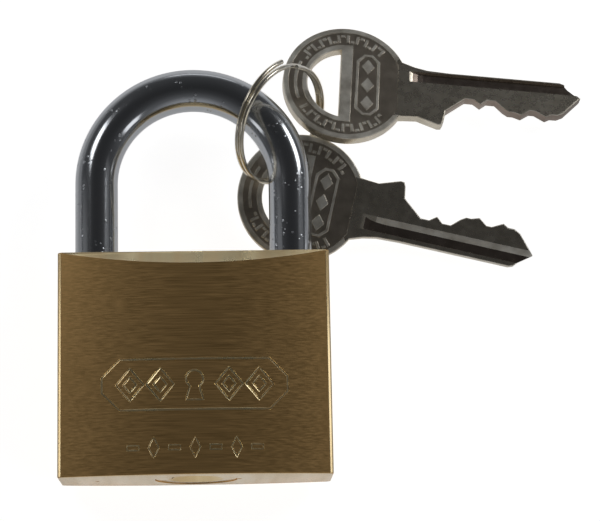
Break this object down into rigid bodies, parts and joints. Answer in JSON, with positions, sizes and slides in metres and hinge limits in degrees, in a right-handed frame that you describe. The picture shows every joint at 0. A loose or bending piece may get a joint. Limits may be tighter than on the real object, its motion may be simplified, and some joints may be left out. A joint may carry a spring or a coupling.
{
  "type": "padlock",
  "caption": "Brass padlock with a closed chromed shackle, a pin-tumbler plug in its base, and a split ring with keys on the shackle.",
  "frame": {"origin": "centre of the flat land on the body's back face", "axes": "+Z out of the front face, +Y from the keyhole end to the shackle, +X across the body towards the toe leg, the side that the pin chambers open on"},
  "size_m": [0.0802, 0.0707, 0.0168],
  "materials": {
    "brushed_brass": "brushed across, lacquered",
    "plug_brass": "turned, satin",
    "chrome_plate": "bright chrome plate on hardened steel",
    "ring_steel": "nickel-plated spring steel, bright",
    "key_nickel": "nickel plate, satin, darker in the relief",
    "zinc_steel": "zinc plated",
    "spring_steel": "drawn wire"
  },
  "bodies": {
    "body": {"body": "brushed_brass", "shackle_spring": "spring_steel", "shackle_retaining_pin": "zinc_steel", "plug_clip": "spring_steel", "driver_pin_1": "zinc_steel", "driver_pin_2": "zinc_steel", "driver_pin_3": "zinc_steel", "driver_pin_4": "zinc_steel", "driver_pin_5": "zinc_steel", "pin_spring_1": "spring_steel", "pin_spring_2": "spring_steel", "pin_spring_3": "spring_steel", "pin_spring_4": "spring_steel", "pin_spring_5": "spring_steel", "chamber_plug_1": "brushed_brass", "chamber_plug_2": "brushed_brass", "chamber_plug_3": "brushed_brass", "chamber_plug_4": "brushed_brass", "chamber_plug_5": "brushed_brass"},
    "plug": {"plug": "plug_brass", "driver_cam": "zinc_steel", "key_pin_1": "plug_brass", "key_pin_2": "plug_brass", "key_pin_3": "plug_brass", "key_pin_4": "plug_brass", "key_pin_5": "plug_brass"},
    "latch_bolt_left": {"latch_bolt_left": "zinc_steel"},
    "latch_bolt_right": {"latch_bolt_right": "zinc_steel"},
    "shackle": {"shackle": "chrome_plate"},
    "key_ring": {"key_ring": "ring_steel"},
    "key_1": {"key_1": "key_nickel"},
    "key_2": {"key_2": "key_nickel"}
  },
  "joints": [
    {"name": "plug_turn", "type": "hinge", "parent": "body", "child": "plug", "pos_m": [0, 0, 0.0075], "axis": [0, 1, 0], "range_deg": [0, 90]},
    {"name": "bolt_left_slide", "type": "slide", "parent": "body", "child": "latch_bolt_left", "axis": [1, 0, 0], "range_m": [0, 0.0055]},
    {"name": "bolt_right_slide", "type": "slide", "parent": "body", "child": "latch_bolt_right", "axis": [-1, 0, 0], "range_m": [0, 0.0055]},
    {"name": "shackle_lift", "type": "slide", "parent": "body", "child": "shackle", "axis": [0, 1, 0], "range_m": [0, 0.01]},
    {"name": "key_ring_swing", "type": "hinge", "parent": "shackle", "child": "key_ring", "pos_m": [0.01319, 0.03425, 0.0075], "axis": [0.4226, -0.9063, 0], "range_deg": [0, 40]},
    {"name": "key_1_swing", "type": "hinge", "parent": "key_ring", "child": "key_1", "pos_m": [0.01325, 0.037, 0.00865], "axis": [0.7347, -0.4415, 0.515], "range_deg": [0, 60]},
    {"name": "key_2_swing", "type": "hinge", "parent": "key_ring", "child": "key_2", "pos_m": [0.0145, 0.0305, 0.0023], "axis": [0, -0.1115, 0.9938], "range_deg": [-20, 5]}
  ],
  "couplings": [
    {"joint": "bolt_left_slide", "follows": "plug_turn", "m_per_rad": 0.0035014},
    {"joint": "bolt_right_slide", "follows": "plug_turn", "m_per_rad": 0.0035014},
    {"joint": "shackle_lift", "follows": "plug_turn", "m_per_rad": 0.0063661}
  ]
}
